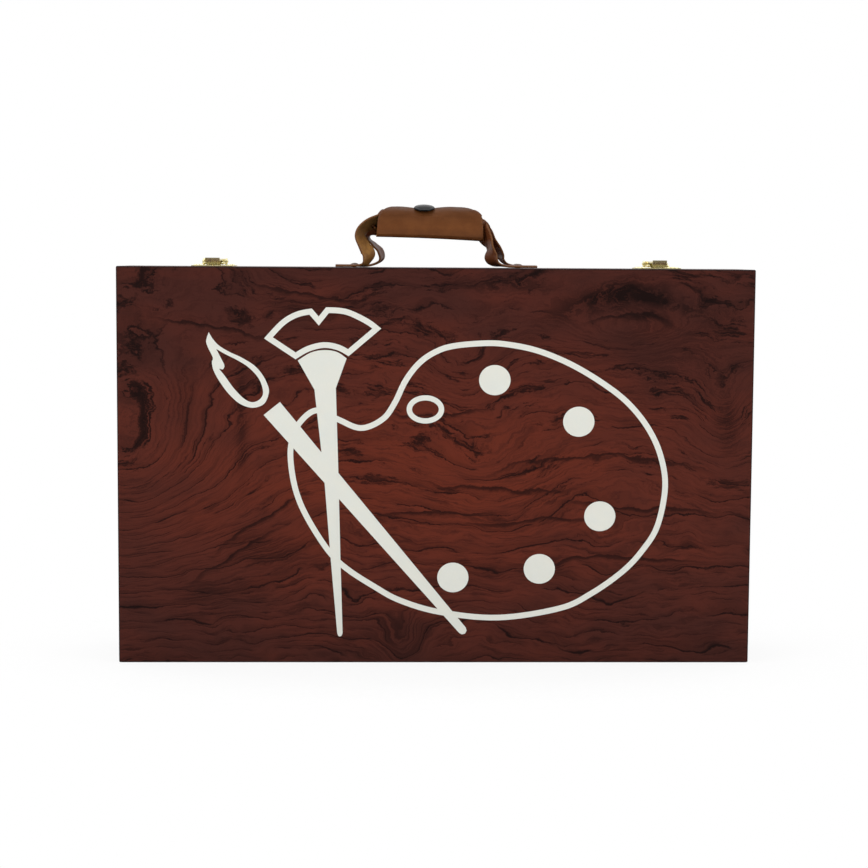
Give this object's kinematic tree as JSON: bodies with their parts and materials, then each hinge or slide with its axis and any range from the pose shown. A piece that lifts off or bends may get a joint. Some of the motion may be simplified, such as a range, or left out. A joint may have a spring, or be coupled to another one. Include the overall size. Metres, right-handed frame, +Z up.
{
  "type": "french box easel",
  "caption": "Table-top box easel: hinged wooden paint case with sliding canvas ledge and clamp, palette, stays, draw latches and a leather handle.",
  "frame": {"origin": "middle of the case's footprint, on the level that it stands on", "axes": "+Z up towards the handle, +X along the case, -Y out of the lid's face"},
  "size_m": [0.4, 0.076, 0.2899],
  "materials": {
    "case_veneer": "satin dark mahogany-look wood-grain film over the outer faces, with black streaks",
    "inner_wood": "oiled beech, plain and light",
    "palette_wood": "sanded birch plywood",
    "brass": "bright plated, pale yellow",
    "leather": "vegetable-tanned, polished grain side and raw tan edges",
    "snap_black": "black enamel, glossy",
    "rivet_dark": "dark bronze enamel",
    "felt": "green felt"
  },
  "bodies": {
    "base": {"base_panel": "case_veneer", "base_rail_top": "case_veneer", "base_rail_bottom": "case_veneer", "base_side_left": "case_veneer", "base_side_right": "case_veneer", "divider_long": "inner_wood", "divider_short_left": "inner_wood", "divider_short_right": "inner_wood", "palette_runner": "inner_wood", "palette": "palette_wood", "palette_button_screws": "brass", "latch_plate_left": "brass", "latch_plate_right": "brass", "latch_pins": "brass", "latch_nails_base": "brass", "handle_strap_rear": "leather", "strap_rivets_rear": "rivet_dark", "grip_wrap": "leather", "snap_stud": "snap_black", "hinge_leaf_base_left": "brass", "hinge_leaf_base_right": "brass", "hinge_pins": "brass", "hinge_screws_base": "brass", "stay_screws_base": "brass"},
    "lid": {"lid_panel": "case_veneer", "lid_rail_top": "case_veneer", "lid_rail_bottom": "case_veneer", "lid_side_left": "case_veneer", "lid_side_right": "case_veneer", "catch_plate_left": "brass", "catch_plate_right": "brass", "latch_nails_lid": "brass", "handle_strap_front": "leather", "strap_rivets_front": "rivet_dark", "hinge_leaf_lid_left": "brass", "hinge_leaf_lid_right": "brass", "hinge_screws_lid": "brass", "mast_track": "inner_wood", "stay_screws_lid": "brass"},
    "ledge": {"canvas_ledge": "inner_wood", "ledge_bolt": "brass"},
    "ledge_knob": {"ledge_knob": "inner_wood"},
    "clamp": {"canvas_clamp": "inner_wood", "clamp_bolt": "brass", "clamp_pad": "felt"},
    "clamp_knob": {"clamp_knob": "inner_wood"},
    "latch_lever_left": {"latch_lever_left": "brass"},
    "latch_lever_right": {"latch_lever_right": "brass"},
    "latch_loop_left": {"latch_loop_left": "brass"},
    "latch_loop_right": {"latch_loop_right": "brass"},
    "grip_flap": {"grip_flap": "leather", "snap_cap": "snap_black"},
    "palette_button_left": {"palette_button_left": "brass"},
    "palette_button_right": {"palette_button_right": "brass"},
    "stay_base_left": {"stay_base_left": "brass"},
    "stay_base_right": {"stay_base_right": "brass"},
    "stay_lid_left": {"stay_lid_left": "brass"},
    "stay_lid_right": {"stay_lid_right": "brass"},
    "knee_nut_left": {"knee_nut_left": "brass"},
    "knee_nut_right": {"knee_nut_right": "brass"}
  },
  "joints": [
    {"name": "lid_hinge", "type": "hinge", "parent": "base", "child": "lid", "pos_m": [0, -0.01, 0.0027], "axis": [1, 0, 0], "range_deg": [0, 105]},
    {"name": "ledge_slide", "type": "slide", "parent": "lid", "child": "ledge", "axis": [0, 0, 1], "range_m": [0, 0.04]},
    {"name": "ledge_knob_turn", "type": "hinge", "parent": "ledge", "child": "ledge_knob", "pos_m": [0, -0.0147, 0.0195], "axis": [0, 1, 0], "continuous": true},
    {"name": "clamp_slide", "type": "slide", "parent": "lid", "child": "clamp", "axis": [0, 0, -1], "range_m": [0, 0.11]},
    {"name": "clamp_knob_turn", "type": "hinge", "parent": "clamp", "child": "clamp_knob", "pos_m": [0, -0.0147, 0.226], "axis": [0, 1, 0], "continuous": true},
    {"name": "grip_flap_fold", "type": "hinge", "parent": "base", "child": "grip_flap", "pos_m": [0, -0.0168, 0.268], "axis": [1, 0, 0], "range_deg": [0, 100]},
    {"name": "latch_lever_left_lift", "type": "hinge", "parent": "base", "child": "latch_lever_left", "pos_m": [-0.141, -0.004, 0.2532], "axis": [-1, 0, 0], "range_deg": [0, 100]},
    {"name": "latch_loop_left_swing", "type": "hinge", "parent": "latch_lever_left", "child": "latch_loop_left", "pos_m": [-0.141, -0.0075, 0.252], "axis": [-1, 0, 0], "range_deg": [-75, 0]},
    {"name": "palette_button_left_turn", "type": "hinge", "parent": "base", "child": "palette_button_left", "pos_m": [-0.12, -0.0013, 0.069], "axis": [0, 1, 0], "range_deg": [0, 90]},
    {"name": "stay_base_left_swing", "type": "hinge", "parent": "base", "child": "stay_base_left", "pos_m": [-0.19, 0.002, 0.0827], "axis": [1, 0, 0], "range_deg": [0, 105]},
    {"name": "stay_lid_left_swing", "type": "hinge", "parent": "lid", "child": "stay_lid_left", "pos_m": [-0.188, -0.022, 0.0827], "axis": [1, 0, 0], "range_deg": [-105, 0]},
    {"name": "knee_nut_left_turn", "type": "hinge", "parent": "stay_base_left", "child": "knee_nut_left", "pos_m": [-0.184, -0.01, 0.1627], "axis": [1, 0, 0], "continuous": true},
    {"name": "latch_lever_right_lift", "type": "hinge", "parent": "base", "child": "latch_lever_right", "pos_m": [0.141, -0.004, 0.2532], "axis": [-1, 0, 0], "range_deg": [0, 100]},
    {"name": "latch_loop_right_swing", "type": "hinge", "parent": "latch_lever_right", "child": "latch_loop_right", "pos_m": [0.141, -0.0075, 0.252], "axis": [-1, 0, 0], "range_deg": [-75, 0]},
    {"name": "palette_button_right_turn", "type": "hinge", "parent": "base", "child": "palette_button_right", "pos_m": [0.12, -0.0013, 0.069], "axis": [0, 1, 0], "range_deg": [0, 90]},
    {"name": "stay_base_right_swing", "type": "hinge", "parent": "base", "child": "stay_base_right", "pos_m": [0.19, 0.002, 0.0827], "axis": [1, 0, 0], "range_deg": [0, 105]},
    {"name": "stay_lid_right_swing", "type": "hinge", "parent": "lid", "child": "stay_lid_right", "pos_m": [0.188, -0.022, 0.0827], "axis": [1, 0, 0], "range_deg": [-105, 0]},
    {"name": "knee_nut_right_turn", "type": "hinge", "parent": "stay_base_right", "child": "knee_nut_right", "pos_m": [0.184, -0.01, 0.1627], "axis": [1, 0, 0], "continuous": true}
  ],
  "couplings": [
    {"joint": "latch_loop_left_swing", "follows": "latch_lever_left_lift", "ratio": -0.75},
    {"joint": "stay_base_left_swing", "follows": "lid_hinge", "ratio": 1},
    {"joint": "stay_lid_left_swing", "follows": "lid_hinge", "ratio": -1},
    {"joint": "latch_loop_right_swing", "follows": "latch_lever_right_lift", "ratio": -0.75},
    {"joint": "stay_base_right_swing", "follows": "lid_hinge", "ratio": 1},
    {"joint": "stay_lid_right_swing", "follows": "lid_hinge", "ratio": -1}
  ]
}
